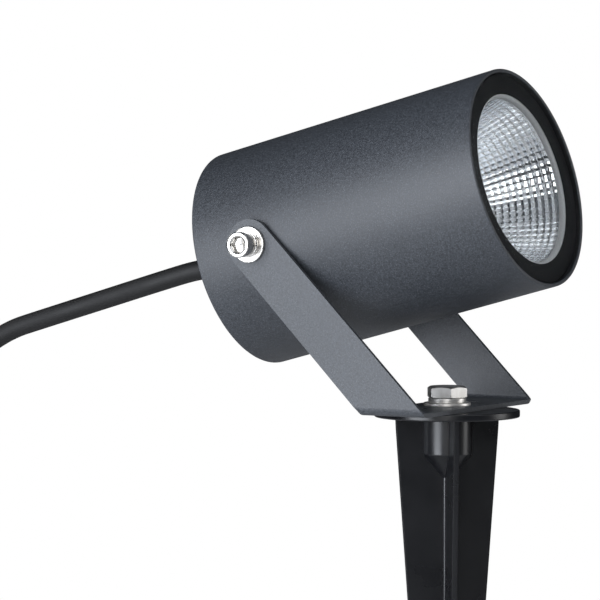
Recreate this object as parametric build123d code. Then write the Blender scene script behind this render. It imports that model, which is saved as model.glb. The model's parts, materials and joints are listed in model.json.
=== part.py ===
from build123d import *
import os
from math import cos, degrees, pi, radians, sin, sqrt, tan

# Garden spike spotlight: a cylindrical lamp head held in a slanted U bracket,
# which is bolted to a plastic ground stake.
# Millimetres. Origin on the stake's axis at ground level, which is the underside
# of the stake's flange. +Z is up and +X is the way the lamp shines.

# ---------------------------------------------------------------- lamp housing
housing_diameter = 75.0
housing_length = 110.0
housing_wall = 2.5
rim_chamfer = 0.6
rim_wall = 1.3                  # wall beside the glass at the front
pivot_setback = 23.0            # rear rim to pivot axis
rest_tilt = 15.0                # degrees, nose up
ledge_width = 2.5               # shelf that carries the front gasket
ledge_depth = 3.0
partition_thickness = 6.0       # inner wall that carries the LED
partition_hole_radius = 2.6
partition_hole_gap = 2.0        # LED holder's edge to the wires' centre
pivot_pad_radius = 7.0
pivot_pad_height = 0.4          # stands out past the housing's side
pivot_boss_depth = 10.0         # inward from the housing's side

# ---------------------------------------------------------------- front optics
glass_recess = 0.4
glass_thickness = 4.0
glass_clearance = 0.2
border_width = 6.8              # black printed edge of the glass
border_thickness = 0.2
gasket_thickness = 1.2
gasket_edge_gap = 0.2
reflector_depth = 44.8
reflector_wall = 1.4
reflector_neck_radius = 9.0
reflector_mouth_gap = 0.1       # reflector mouth past the border's inner edge
reflector_steps = 12

# ---------------------------------------------------------------- light source
pad_side = 18.0
pad_thickness = 0.4
cob_side = 19.0
cob_thickness = 1.2
cob_light_radius = 7.0
cob_light_height = 0.4
holder_rim = 3.3                # screw centre to the holder's edge
holder_thickness = 3.4
holder_window_radius = 8.8
holder_pocket_gap = 0.2
holder_screw_gap = 4.7          # LED board's edge to the screw's centre
small_screw_radius = 1.5        # M3
small_head_radius = 2.7
small_head_height = 1.8
small_drive_radius = 1.2
small_drive_depth = 1.0
screw_gap = 0.05                # thread to its hole
head_gap = 0.25                 # screw head to its recess
holder_screw_length = 7.0

# ---------------------------------------------------------------- driver
driver_width = 36.0
driver_height = 26.0
driver_edge = 1.5
driver_pad_thickness = 1.0
driver_pad_inset = 4.0
wiring_space = 9.0              # behind the driver, in front of the rear gasket
led_lead_radius = 0.8
led_lead_offset = 1.3
led_lead_bend = 2.5
led_lead_gap = 0.25             # end to the LED holder's edge
led_lead_sweep = 0.8            # share of the last run that is bent
led_lead_setback = 7.0          # behind the partition, where they leave the driver
supply_lead_radius = 0.9
supply_lead_circle = 1.6

# ---------------------------------------------------------------- rear cover
cover_recess = 1.0
cover_thickness = 4.0
cover_clearance = 0.2
cover_seat_width = 2.5
cover_seat_depth = 4.0
cover_screw_inset = 4.6         # lug centre in from the housing's bore
cover_screw_count = 4
cover_screw_length = 12.0
cover_head_recess = 1.2
lug_radius = 3.8
lug_length = 11.0
rear_gasket_width = 8.0

# ---------------------------------------------------------------- cable gland
gland_thread_radius = 6.0
gland_hole_gap = 0.1
gland_flats = 15.0
gland_collar = 3.0
gland_stem = 8.0
gland_stem_radius = 5.8
gland_dome_length = 12.5
gland_dome_radius = 7.3
gland_dome_grip = 6.0           # hexagon length on the dome nut
gland_dome_taper = 3.5          # length over which the dome closes
gland_dome_round = 1.2
gland_dome_lip = 1.6            # wall round the cord at the dome's end
gland_thread_gap = 0.05
seal_radius = 5.0
seal_length = 7.0
locknut_thickness = 3.0
gland_inner_length = 4.4        # thread past the cover's inner face

# ---------------------------------------------------------------- pivot hardware
pivot_screw_radius = 2.5        # M5 socket cap screw
pivot_head_radius = 4.35
pivot_head_height = 5.0
pivot_head_chamfer = 0.4
pivot_socket_flats = 4.8
pivot_socket_depth = 3.0
pivot_socket_mouth = 3.05
pivot_screw_bite = 9.5          # thread inside the boss
pivot_running_gap = 0.075
flat_washer_radius = 6.2
flat_washer_thickness = 1.2
spring_washer_radius = 4.5
spring_washer_thickness = 1.6
spring_washer_split = 0.9
washer_bore_gap = 0.15
friction_washer_radius = 6.8
friction_washer_thickness = 0.4

# ---------------------------------------------------------------- bracket
sheet = 1.5
bend_radius = 1.5               # inside of each bend
arm_width = 17.0
arm_slant = 44.4                # degrees from upright
under_clearance = 16.9          # housing's underside, level, above the base
base_hole_radius = 2.1
base_hole_offset = 18.0

# ---------------------------------------------------------------- swivel bolt
bolt_radius = 4.0               # M8, low hexagon head
bolt_flats = 12.2
bolt_turn = 9.0                 # degrees from +X to a corner of the head
bolt_head_height = 4.0
bolt_head_chamfer = 0.9
bolt_running_gap = 0.075
bolt_thread_gap = 0.05
bolt_washer_radius = 8.0
bolt_washer_thickness = 1.0
bolt_spring_radius = 6.4
bolt_spring_thickness = 1.5
bolt_spring_split = 1.4
bolt_split_turn = -20.0         # degrees from +X to the split
bolt_reach = 9.0                # below the ground level
insert_wall = 1.75
insert_depth = 8.5
insert_drop = 0.5               # below the flange's top

# ---------------------------------------------------------------- ground stake
flange_radius = 24.55
flange_thickness = 2.4
flange_edge = 0.5
boss_radius = 8.5
boss_length = 12.6
boss_cone_length = 8.0
boss_cone_tip = 2.0
boss_floor = 1.2
blade_half_width = 17.7         # at the flange
blade_shoulder_width = 6.1      # where the point begins
blade_shoulder_depth = 165.0
stake_length = 200.0
blade_tip_width = 1.0
blade_thickness = 2.0
blade_turn = 38.6               # degrees from +X to the first blade

# ---------------------------------------------------------------- supply cord
cord_diameter = 7.0
cord_inside = 12.0              # pivot axis back to the sheath's inner end
cord_lead_length = 12.0         # past the gland, turning with the head
cord_joint_gap = 0.3            # between the turning and the lying stretch
cord_straight = 14.0            # in line with the gland, past that gap
coil_mean_radius = 38.0
coil_slack = 0.4                # bundle past its two turns, each way
coil_ground_gap = 1.4
coil_entry_gap = 0.8            # bundle to the start of the coil's straight end
coil_tail_length = 32.0
coil_centre_x = -260.0
tie_width = 9.0
tie_thickness = 1.0
tie_gap = 0.1
tie_angle = 200.0               # degrees round the coil
core_radius = 1.1
core_length = 24.0
core_circle = 1.5
core_count = 3

# ---------------------------------------------------------------- derived
housing_radius = housing_diameter / 2
cord_radius = cord_diameter / 2
coil_section = 2 * cord_diameter + coil_slack
coil_corner = cord_radius - coil_slack
coil_outside = coil_mean_radius + coil_section / 2
coil_entry_reach = sqrt(coil_outside**2 - (coil_mean_radius - cord_radius) ** 2)
coil_entry_length = coil_entry_reach + coil_entry_gap
base_bottom = flange_thickness
base_top = base_bottom + sheet
pivot_height = base_top + under_clearance + housing_radius
base_middle = base_bottom + sheet / 2
slant = radians(arm_slant)
pivot_x = -(pivot_height - base_middle) * tan(slant)
arm_inner = housing_radius + pivot_pad_height + friction_washer_thickness
arm_outer = arm_inner + sheet
base_half = arm_width / 2 / cos(slant)

rear_x = -pivot_setback
front_x = housing_length - pivot_setback
chamber_radius = housing_radius - housing_wall
bore_radius = housing_radius - rim_wall
glass_front = front_x - glass_recess
glass_back = glass_front - glass_thickness
border_back = glass_back - border_thickness
ledge_x = border_back - gasket_thickness
ledge_radius = bore_radius - ledge_width
glass_radius = bore_radius - glass_clearance
aperture_radius = glass_radius - border_width
holder_screw_offset = cob_side / 2 + holder_screw_gap
holder_radius = holder_screw_offset + holder_rim
partition_hole_height = holder_radius + partition_hole_gap
holder_front = border_back - reflector_depth
partition_front = holder_front - holder_thickness
partition_rear = partition_front - partition_thickness
cover_back = rear_x + cover_recess
cover_front = cover_back + cover_thickness
seat_x = cover_front + gasket_thickness
seat_radius = bore_radius - cover_seat_width
lug_circle = chamber_radius - cover_screw_inset
driver_front = partition_rear - driver_pad_thickness
driver_rear = seat_x + wiring_space
gland_end = cover_back - gland_collar - gland_dome_length

rest = Pos(pivot_x, 0, pivot_height) * Rot(0, -rest_tilt, 0)
written = []


def turned(*points):
    """Solid of revolution about X through corners given as (x, radius)."""
    return revolve(make_face(Polyline(*points, close=True)), axis=Axis.X)


def ring(x0, x1, inner, outer):
    """Plain ring about X."""
    return turned((x0, inner), (x1, inner), (x1, outer), (x0, outer))


def pin(start, direction, radius, length):
    """Round bar from a point along a direction."""
    bar = Cylinder(radius, length, align=(Align.CENTER, Align.CENTER, Align.MIN))
    return Plane(origin=start, z_dir=direction) * bar


def hexagon(start, direction, flats, length, turn=0):
    """Hexagonal bar from a point along a direction."""
    outline = RegularPolygon(flats / sqrt(3), 6, rotation=turn)
    return extrude(Plane(origin=start, z_dir=direction) * outline, amount=length)


def block(x0, x1, width, height):
    """Box along X, centred on the lamp's axis."""
    middle = Pos((x0 + x1) / 2, 0, 0)
    return middle * Box(x1 - x0, width, height)


def tube(points, radius, ratio=0.45):
    """Round bar along runs joined by tangent arcs, with the arcs' radii."""
    spots = [Vector(*point) for point in points]
    radii = []
    for before, corner, after in zip(spots, spots[1:], spots[2:]):
        arriving = corner - before
        leaving = after - corner
        half_turn = radians(arriving.get_angle(leaving)) / 2
        shorter = min(arriving.length, leaving.length)
        radii.append(ratio * shorter / tan(half_turn))
    path = FilletPolyline(*spots, radius=radii)
    start = Plane(origin=spots[0], z_dir=spots[1] - spots[0])
    solid = sweep(start * Circle(radius), path=path)
    return solid, path, radii


def split_washer(start, direction, inner, outer, thickness, gap):
    """Spring washer with its split."""
    body = pin(start, direction, outer, thickness)
    body -= pin(start, direction, inner, thickness)
    slot = Box(gap, outer, thickness, align=(Align.CENTER, Align.MIN, Align.MIN))
    return body - Plane(origin=start, z_dir=direction) * slot


def write(name, shapes):
    """Writes one node, which may hold several like solids."""
    whole = shapes if isinstance(shapes, list) else [shapes]
    solids = [solid for shape in whole for solid in shape.solids()]
    part = solids[0] if len(solids) == 1 else Compound(children=solids)
    part.label = name
    export_step(part, f"parts/{name}.step")
    written.append(name)


def write_head(name, shapes):
    """Writes a node of the lamp head, tilted to its rest angle."""
    whole = shapes if isinstance(shapes, list) else [shapes]
    write(name, [rest * shape for shape in whole])


def make_housing():
    body = turned(
        (rear_x, bore_radius),
        (rear_x, housing_radius - rim_chamfer),
        (rear_x + rim_chamfer, housing_radius),
        (front_x - rim_chamfer, housing_radius),
        (front_x, housing_radius - rim_chamfer),
        (front_x, bore_radius),
        (ledge_x, bore_radius),
        (ledge_x, ledge_radius),
        (ledge_x - ledge_depth, ledge_radius),
        (ledge_x - ledge_depth, chamber_radius),
        (partition_front, chamber_radius),
        (partition_front, 0),
        (partition_rear, 0),
        (partition_rear, chamber_radius),
        (seat_x + cover_seat_depth, chamber_radius),
        (seat_x + cover_seat_depth, seat_radius),
        (seat_x, seat_radius),
        (seat_x, bore_radius),
    )
    for side in (-1, 1):
        inner = housing_radius - pivot_boss_depth
        depth = pivot_boss_depth + pivot_pad_height
        body += pin((0, side * inner, 0), (0, side, 0), pivot_pad_radius, depth)
    for x, y, z in cover_screw_places():
        body += pin((seat_x, y, z), (1, 0, 0), lug_radius, lug_length)
    for side in (-1, 1):
        inner = housing_radius - pivot_boss_depth
        depth = pivot_boss_depth + pivot_pad_height
        hole = pivot_screw_radius + screw_gap
        body -= pin((0, side * inner, 0), (0, side, 0), hole, depth)
    for x, y, z in cover_screw_places():
        hole = small_screw_radius + screw_gap
        body -= pin((seat_x, y, z), (1, 0, 0), hole, lug_length)
    hole = small_screw_radius + screw_gap
    for side in (-1, 1):
        start = (partition_front, side * holder_screw_offset, 0)
        body -= pin(start, (-1, 0, 0), hole, partition_thickness)
    start = (partition_rear, 0, partition_hole_height)
    body -= pin(start, (1, 0, 0), partition_hole_radius, partition_thickness)
    return body


def cover_screw_places():
    """Centres of the rear cover's screws on the plane of its seat."""
    places = []
    for number in range(cover_screw_count):
        angle = 2 * pi * (number + 0.5) / cover_screw_count
        places.append((seat_x, lug_circle * cos(angle), lug_circle * sin(angle)))
    return places


def small_screw(start, direction, length):
    """M3 pan head screw, the underside of its head at start, thread along direction."""
    back = tuple(-part for part in direction)
    body = pin(start, direction, small_screw_radius, length)
    body += pin(start, back, small_head_radius, small_head_height)
    top = tuple(a + b * small_head_height for a, b in zip(start, back))
    drive = hexagon(top, direction, 2 * small_drive_radius, small_drive_depth)
    return body - drive


def reflector_radius(x):
    """Inner radius of the paraboloid reflector."""
    share = (x - holder_front) / reflector_depth
    mouth = aperture_radius + reflector_mouth_gap
    return sqrt(reflector_neck_radius**2 * (1 - share) + mouth**2 * share)


def make_reflector():
    stations = [
        holder_front + reflector_depth * step / reflector_steps
        for step in range(reflector_steps + 1)
    ]
    inner = [(x, reflector_radius(x)) for x in stations]
    outer = [(x, r + reflector_wall) for x, r in inner if x < ledge_x]
    lip_radius = ledge_radius - gasket_edge_gap
    lip = [(border_back, lip_radius), (ledge_x, lip_radius)]
    root = (ledge_x, reflector_radius(ledge_x) + reflector_wall)
    return turned(*inner, *lip, root, *reversed(outer))


def make_holder():
    body = ring(partition_front, holder_front, 0, holder_radius)
    pocket = cob_side + 2 * holder_pocket_gap
    floor = partition_front + pad_thickness + cob_thickness + holder_pocket_gap
    body -= block(partition_front, floor, pocket, pocket)
    body -= ring(floor, holder_front, 0, holder_window_radius)
    for side in (-1, 1):
        start = (holder_front, side * holder_screw_offset, 0)
        through = small_screw_radius + head_gap
        body -= pin(start, (-1, 0, 0), through, holder_thickness)
        recess = small_head_radius + head_gap
        body -= pin(start, (-1, 0, 0), recess, small_head_height)
    return body


def make_holder_screws():
    depth = holder_front - small_head_height
    spots = [(depth, side * holder_screw_offset, 0) for side in (-1, 1)]
    return [small_screw(spot, (-1, 0, 0), holder_screw_length) for spot in spots]


def make_cob():
    back = partition_front + pad_thickness
    board = block(back, back + cob_thickness, cob_side, cob_side)
    light = back + cob_thickness
    return board + ring(light, light + cob_light_height, 0, cob_light_radius)


def make_driver():
    body = block(driver_rear, driver_front, driver_width, driver_height)
    return fillet(body.edges().filter_by(Axis.X), driver_edge)


def make_led_leads():
    leads = []
    leave = partition_rear - led_lead_setback
    arrive = partition_front + holder_thickness / 2
    end = holder_radius + led_lead_gap
    for side in (-1, 1):
        y = side * led_lead_offset
        spots = [
            (leave, y, driver_height / 2),
            (leave, y, partition_hole_height),
            (arrive, y, partition_hole_height),
            (arrive, y, end),
        ]
        bends = [led_lead_bend, (partition_hole_height - end) * led_lead_sweep]
        path = FilletPolyline(*spots, radius=bends)
        start = Plane(origin=spots[0], z_dir=(0, 0, 1))
        leads.append(sweep(start * Circle(led_lead_radius), path=path))
    return leads


def make_supply_leads():
    leads = []
    for number in range(core_count):
        angle = 2 * pi * number / core_count
        y = supply_lead_circle * cos(angle)
        z = supply_lead_circle * sin(angle)
        length = driver_rear + cord_inside
        leads.append(pin((-cord_inside, y, z), (1, 0, 0), supply_lead_radius, length))
    return leads


def make_rear_cover():
    body = ring(
        cover_back,
        cover_front,
        gland_thread_radius + gland_hole_gap,
        bore_radius - cover_clearance,
    )
    for x, y, z in cover_screw_places():
        through = small_screw_radius + head_gap
        recess = small_head_radius + head_gap
        body -= pin((cover_back, y, z), (1, 0, 0), through, cover_thickness)
        body -= pin((cover_back, y, z), (1, 0, 0), recess, cover_head_recess)
    return body


def make_rear_gasket():
    outer = bore_radius - cover_clearance
    body = ring(cover_front, seat_x, outer - rear_gasket_width, outer)
    for x, y, z in cover_screw_places():
        through = small_screw_radius + head_gap
        body -= pin((cover_front, y, z), (1, 0, 0), through, gasket_thickness)
    return body


def make_cover_screws():
    under = cover_back + cover_head_recess
    return [
        small_screw((under, y, z), (1, 0, 0), cover_screw_length)
        for x, y, z in cover_screw_places()
    ]


def make_gland_body():
    collar_end = cover_back - gland_collar
    stem_end = collar_end - gland_stem
    body = hexagon((cover_back, 0, 0), (-1, 0, 0), gland_flats, gland_collar)
    body += ring(cover_back, cover_front + gland_inner_length, 0, gland_thread_radius)
    body += ring(stem_end, collar_end, 0, gland_stem_radius)
    cord_way = cord_radius + gland_hole_gap
    body -= ring(stem_end, cover_front + gland_inner_length, 0, cord_way)
    return body - ring(stem_end, stem_end + seal_length, 0, seal_radius)


def make_gland_seal():
    stem_end = cover_back - gland_collar - gland_stem
    return ring(stem_end, stem_end + seal_length, cord_radius, seal_radius)


def make_dome_nut():
    collar_end = cover_back - gland_collar
    stem_end = collar_end - gland_stem
    grip = hexagon((collar_end, 0, 0), (-1, 0, 0), gland_flats, gland_dome_grip)
    dome = turned(
        (collar_end, 0),
        (collar_end, gland_dome_radius),
        (gland_end + gland_dome_taper, gland_dome_radius),
        (gland_end + gland_dome_round, gland_dome_radius - gland_dome_round),
        (gland_end, cord_radius + gland_dome_lip),
        (gland_end, 0),
    )
    body = grip + dome
    body -= ring(stem_end, collar_end, 0, gland_stem_radius + gland_thread_gap)
    return body - ring(gland_end, stem_end, 0, cord_radius + gland_hole_gap)


def make_locknut():
    body = hexagon((cover_front, 0, 0), (1, 0, 0), gland_flats, locknut_thickness)
    hole = gland_thread_radius + gland_thread_gap
    return body - ring(cover_front, cover_front + locknut_thickness, 0, hole)


def pivot_screw(side):
    """Cap screw of one side, with its hexagonal socket facing outward."""
    under = arm_outer + flat_washer_thickness + spring_washer_thickness
    tip = housing_radius - pivot_screw_bite
    top = under + pivot_head_height
    head = Plane(origin=(0, side * under, 0), z_dir=(0, side, 0)) * Cylinder(
        pivot_head_radius,
        pivot_head_height,
        align=(Align.CENTER, Align.CENTER, Align.MIN),
    )
    far_edge = head.edges().sort_by(Axis.Y)[-1 if side > 0 else 0]
    head = chamfer(far_edge, pivot_head_chamfer)
    body = head + pin((0, side * tip, 0), (0, side, 0), pivot_screw_radius, under - tip)
    start = (0, side * top, 0)
    inward = (0, -side, 0)
    body -= hexagon(start, inward, pivot_socket_flats, pivot_socket_depth)
    mouth_depth = pivot_socket_mouth - pivot_socket_flats / 2
    mouth = Cone(
        pivot_socket_mouth,
        pivot_socket_mouth - mouth_depth,
        mouth_depth,
        align=(Align.CENTER, Align.CENTER, Align.MIN),
    )
    return body - Plane(origin=start, z_dir=inward) * mouth


def pivot_washer(side, start, outer, thickness):
    """Plain washer on the pivot axis."""
    spot = (0, side * start, 0)
    hole = pivot_screw_radius + washer_bore_gap
    body = pin(spot, (0, side, 0), outer, thickness)
    return body - pin(spot, (0, side, 0), hole, thickness)


def pivot_spring_washer(side):
    spot = (0, side * (arm_outer + flat_washer_thickness), 0)
    return split_washer(
        spot,
        (0, side, 0),
        pivot_screw_radius + washer_bore_gap,
        spring_washer_radius,
        spring_washer_thickness,
        spring_washer_split,
    )


def make_bracket():
    top = pivot_height + arm_width
    outer = bend_radius + sheet
    shell = Rectangle(2 * arm_outer, top - base_bottom, align=(Align.CENTER, Align.MIN))
    shell = fillet(shell.vertices().group_by(Axis.Y)[0], outer)
    hollow = Rectangle(2 * arm_inner, top - base_top, align=(Align.CENTER, Align.MIN))
    hollow = fillet(hollow.vertices().group_by(Axis.Y)[0], bend_radius)
    section = Pos(0, base_bottom) * shell - Pos(0, base_top) * hollow
    reach = abs(pivot_x) + arm_width
    sheet_metal = extrude(Plane.YZ * section, amount=reach, both=True)

    along = (-sin(slant), cos(slant))
    across = (cos(slant) * arm_width / 2, sin(slant) * arm_width / 2)
    right_end = (pivot_x + across[0], pivot_height + across[1])
    left_end = (pivot_x - across[0], pivot_height - across[1])
    crown = (
        pivot_x + along[0] * arm_width / 2,
        pivot_height + along[1] * arm_width / 2,
    )
    outline = make_face(
        Polyline(
            left_end,
            (-base_half - sheet / 2 * tan(slant), base_top),
            (-base_half, base_bottom),
            (base_half, base_bottom),
            (base_half, base_top),
            right_end,
        )
        + ThreePointArc(right_end, crown, left_end)
    )
    blank = extrude(Plane.XZ * outline, amount=2 * arm_outer, both=True)
    body = sheet_metal & blank
    hole = pivot_screw_radius + pivot_running_gap
    start = (pivot_x, -2 * arm_outer, pivot_height)
    body -= pin(start, (0, 1, 0), hole, 4 * arm_outer)
    hole = bolt_radius + bolt_running_gap
    body -= pin((0, 0, base_bottom), (0, 0, 1), hole, sheet)
    for side in (-1, 1):
        start = (0, side * base_hole_offset, base_bottom)
        body -= pin(start, (0, 0, 1), base_hole_radius, sheet)
    return body


def make_swivel_bolt():
    under = base_top + bolt_washer_thickness + bolt_spring_thickness
    head = hexagon((0, 0, under), (0, 0, 1), bolt_flats, bolt_head_height, bolt_turn)
    corner = bolt_flats / sqrt(3)
    trim = Cylinder(
        corner,
        bolt_head_height,
        align=(Align.CENTER, Align.CENTER, Align.MIN),
    )
    trim = chamfer(trim.edges().sort_by(Axis.Z)[-1], bolt_head_chamfer / 2, bolt_head_chamfer)
    head &= Pos(0, 0, under) * trim
    return head + pin((0, 0, -bolt_reach), (0, 0, 1), bolt_radius, under + bolt_reach)


def make_swivel_washer():
    body = pin((0, 0, base_top), (0, 0, 1), bolt_washer_radius, bolt_washer_thickness)
    hole = bolt_radius + washer_bore_gap
    return body - pin((0, 0, base_top), (0, 0, 1), hole, bolt_washer_thickness)


def make_swivel_spring_washer():
    washer = split_washer(
        (0, 0, base_top + bolt_washer_thickness),
        (0, 0, 1),
        bolt_radius + washer_bore_gap,
        bolt_spring_radius,
        bolt_spring_thickness,
        bolt_spring_split,
    )
    return Rot(0, 0, bolt_split_turn - 90) * washer


def make_insert():
    bottom = -insert_depth
    top = flange_thickness - insert_drop
    outer = bolt_radius + bolt_thread_gap + insert_wall
    body = pin((0, 0, bottom), (0, 0, 1), outer, top - bottom)
    inner = bolt_radius + bolt_thread_gap
    return body - pin((0, 0, bottom), (0, 0, 1), inner, top - bottom)


def make_stake():
    flange = pin((0, 0, 0), (0, 0, 1), flange_radius, flange_thickness)
    flange = chamfer(flange.edges().filter_by(GeomType.CIRCLE), flange_edge)
    body = flange + pin((0, 0, 0), (0, 0, -1), boss_radius, boss_length)
    cone = Cone(
        boss_radius,
        boss_cone_tip,
        boss_cone_length,
        align=(Align.CENTER, Align.CENTER, Align.MIN),
    )
    body += Plane(origin=(0, 0, -boss_length), z_dir=(0, 0, -1)) * cone
    outline = make_face(
        Polyline(
            (-blade_half_width, 0),
            (blade_half_width, 0),
            (blade_shoulder_width, -blade_shoulder_depth),
            (blade_tip_width, -stake_length),
            (-blade_tip_width, -stake_length),
            (-blade_shoulder_width, -blade_shoulder_depth),
            close=True,
        )
    )
    blade = extrude(Plane.XZ * outline, amount=blade_thickness / 2, both=True)
    for turn in (blade_turn, blade_turn + 90):
        body += Rot(0, 0, turn) * blade
    socket = bolt_radius + bolt_thread_gap + insert_wall
    bottom = -insert_depth
    body -= pin((0, 0, bottom), (0, 0, 1), socket, flange_thickness - bottom)
    floor = -max(bolt_reach, insert_depth) - boss_floor
    way = bolt_radius + bolt_thread_gap
    return body - pin((0, 0, floor), (0, 0, 1), way, bottom - floor)


def coil_frame(size, corner):
    """Rounded square about the middle of the coil's bundle, in its own section."""
    section = Pos(coil_mean_radius, 0) * Rectangle(size, size)
    return fillet(section.vertices(), corner)


def make_coil():
    middle_z = coil_ground_gap + coil_section / 2
    section = coil_frame(coil_section, coil_corner)
    centre = Pos(coil_centre_x, -coil_mean_radius, middle_z)
    body = centre * revolve(Plane.XZ * section, axis=Axis.Z)
    height = coil_ground_gap + cord_radius
    length = coil_entry_length
    body += pin((coil_centre_x, 0, height), (1, 0, 0), cord_radius, length)
    start = (coil_centre_x, -2 * coil_mean_radius, coil_ground_gap + coil_section - cord_radius)
    return body + pin(start, (1, 0, 0), cord_radius, coil_tail_length)


def make_tie():
    opening = coil_section + 2 * tie_gap
    outside = opening + 2 * tie_thickness
    corner = coil_corner + tie_gap
    section = coil_frame(outside, corner + tie_thickness) - coil_frame(opening, corner)
    span = degrees(tie_width / coil_mean_radius)
    body = revolve(Plane.XZ * section, axis=Axis.Z, revolution_arc=span)
    middle_z = coil_ground_gap + coil_section / 2
    centre = Pos(coil_centre_x, -coil_mean_radius, middle_z)
    return centre * Rot(0, 0, tie_angle) * body


def make_cores():
    cores = []
    x = coil_centre_x + coil_tail_length
    y = -2 * coil_mean_radius
    z = coil_ground_gap + coil_section - cord_radius
    for number in range(core_count):
        angle = 2 * pi * number / core_count
        start = (x, y + core_circle * cos(angle), z + core_circle * sin(angle))
        cores.append(pin(start, (1, 0, 0), core_radius, core_length))
    return cores


def make_cord_run():
    """The stretch that lies still, from beside the gland to the coil."""
    start = gland_end - cord_lead_length - cord_joint_gap
    height = coil_ground_gap + cord_radius
    points = [
        tuple((rest * Pos(start, 0, 0)).position),
        tuple((rest * Pos(start - cord_straight, 0, 0)).position),
        (-176.0, 0.0, 23.8),
        (-198.0, 0.0, 11.6),
        (-216.0, 0.0, height),
        (coil_centre_x + coil_entry_length, 0.0, height),
    ]
    solid, path, radii = tube(points, cord_radius)
    share = solid.volume / (pi * cord_radius**2 * path.length)
    print("cord run radii", [round(radius, 1) for radius in radii])
    print("cord run length", round(path.length, 1), "volume share", round(share, 4))
    return solid


os.makedirs("parts", exist_ok=True)

write_head("housing", make_housing())
write_head("front_glass", ring(glass_back, glass_front, 0, glass_radius))
write_head("glass_border", ring(border_back, glass_back, aperture_radius, glass_radius))
write_head(
    "front_gasket",
    ring(ledge_x, border_back, ledge_radius, bore_radius - gasket_edge_gap),
)
write_head("reflector", make_reflector())
write_head("led_holder", make_holder())
write_head("holder_screws", make_holder_screws())
write_head("led_cob", make_cob())
write_head(
    "thermal_pad",
    block(partition_front, partition_front + pad_thickness, pad_side, pad_side),
)
write_head("driver", make_driver())
write_head(
    "driver_pad",
    block(
        driver_front,
        partition_rear,
        driver_width - 2 * driver_pad_inset,
        driver_height - 2 * driver_pad_inset,
    ),
)
write_head("led_leads", make_led_leads())
write_head("supply_leads", make_supply_leads())
write_head("rear_cover", make_rear_cover())
write_head("rear_gasket", make_rear_gasket())
write_head("rear_cover_screws", make_cover_screws())
write_head("gland_body", make_gland_body())
write_head("gland_seal", make_gland_seal())
write_head("gland_dome_nut", make_dome_nut())
write_head("gland_locknut", make_locknut())
write_head("cord_lead", ring(gland_end - cord_lead_length, -cord_inside, 0, cord_radius))
write_head("pivot_screws", [pivot_screw(side) for side in (-1, 1)])
write_head(
    "pivot_flat_washers",
    [
        pivot_washer(side, arm_outer, flat_washer_radius, flat_washer_thickness)
        for side in (-1, 1)
    ],
)
write_head("pivot_spring_washers", [pivot_spring_washer(side) for side in (-1, 1)])
write_head(
    "pivot_friction_washers",
    [
        pivot_washer(
            side,
            housing_radius + pivot_pad_height,
            friction_washer_radius,
            friction_washer_thickness,
        )
        for side in (-1, 1)
    ],
)

write("bracket", make_bracket())
write("cord_run", make_cord_run())
write("cord_coil", make_coil())
write("cord_tie", make_tie())
write("cord_cores", make_cores())

write("stake", make_stake())
write("threaded_insert", make_insert())
write("swivel_bolt", make_swivel_bolt())
write("swivel_flat_washer", make_swivel_washer())
write("swivel_spring_washer", make_swivel_spring_washer())

print("pivot", round(pivot_x, 3), round(pivot_height, 3))
print("front", round(front_x, 3), "gland end", round(gland_end, 3))
print("nodes", len(written))
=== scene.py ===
import json
from math import cos, pi, radians, sin, sqrt, tan

import bmesh
import bpy
from mathutils import Matrix, Vector


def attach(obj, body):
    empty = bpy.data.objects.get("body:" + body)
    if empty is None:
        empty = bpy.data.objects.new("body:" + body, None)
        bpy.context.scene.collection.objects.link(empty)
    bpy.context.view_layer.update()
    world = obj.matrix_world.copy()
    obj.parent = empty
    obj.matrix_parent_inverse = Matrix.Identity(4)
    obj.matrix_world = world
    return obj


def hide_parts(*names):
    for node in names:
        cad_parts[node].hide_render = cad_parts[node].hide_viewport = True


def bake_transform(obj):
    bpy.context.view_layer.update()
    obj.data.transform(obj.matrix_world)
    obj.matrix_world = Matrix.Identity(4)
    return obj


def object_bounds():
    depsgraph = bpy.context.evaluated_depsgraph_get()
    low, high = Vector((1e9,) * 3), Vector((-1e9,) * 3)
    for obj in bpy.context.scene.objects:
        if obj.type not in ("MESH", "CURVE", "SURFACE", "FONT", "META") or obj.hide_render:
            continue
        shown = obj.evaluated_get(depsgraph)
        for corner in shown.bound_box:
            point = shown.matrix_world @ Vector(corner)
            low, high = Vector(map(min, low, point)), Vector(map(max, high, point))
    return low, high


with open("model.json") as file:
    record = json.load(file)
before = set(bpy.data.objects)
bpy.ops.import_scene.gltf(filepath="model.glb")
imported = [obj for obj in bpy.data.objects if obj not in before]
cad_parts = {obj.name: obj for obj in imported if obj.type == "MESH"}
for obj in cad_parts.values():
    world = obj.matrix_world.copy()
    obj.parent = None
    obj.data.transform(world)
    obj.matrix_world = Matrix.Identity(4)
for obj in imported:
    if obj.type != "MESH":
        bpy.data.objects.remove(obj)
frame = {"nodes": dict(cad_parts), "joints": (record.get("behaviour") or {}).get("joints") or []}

MM = 0.001
cad_low, cad_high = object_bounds()
joints = {joint["name"]: joint for joint in frame["joints"]}
pivot = Vector(joints["head_tilt"]["pos_m"])
rest_tilt = radians(15.0)
head = Matrix.Translation(pivot) @ Matrix.Rotation(-rest_tilt, 4, "Y")
scene = bpy.context.scene


# ------------------------------------------------------------------ camera
view_azimuth = radians(30.21)
view_elevation = radians(2.49)
lens_camera = bpy.data.cameras.new("camera")
lens_camera.sensor_width = 36.0
lens_camera.lens = 217.4
lens_camera.clip_end = 30.0
camera = bpy.data.objects.new("camera", lens_camera)
camera.location = (0.5708, -1.0790, 0.0924)
camera.rotation_euler = (pi / 2 - view_elevation, 0.0, view_azimuth)
scene.collection.objects.link(camera)
scene.camera = camera
scene.view_settings.view_transform = "Standard"


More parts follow.
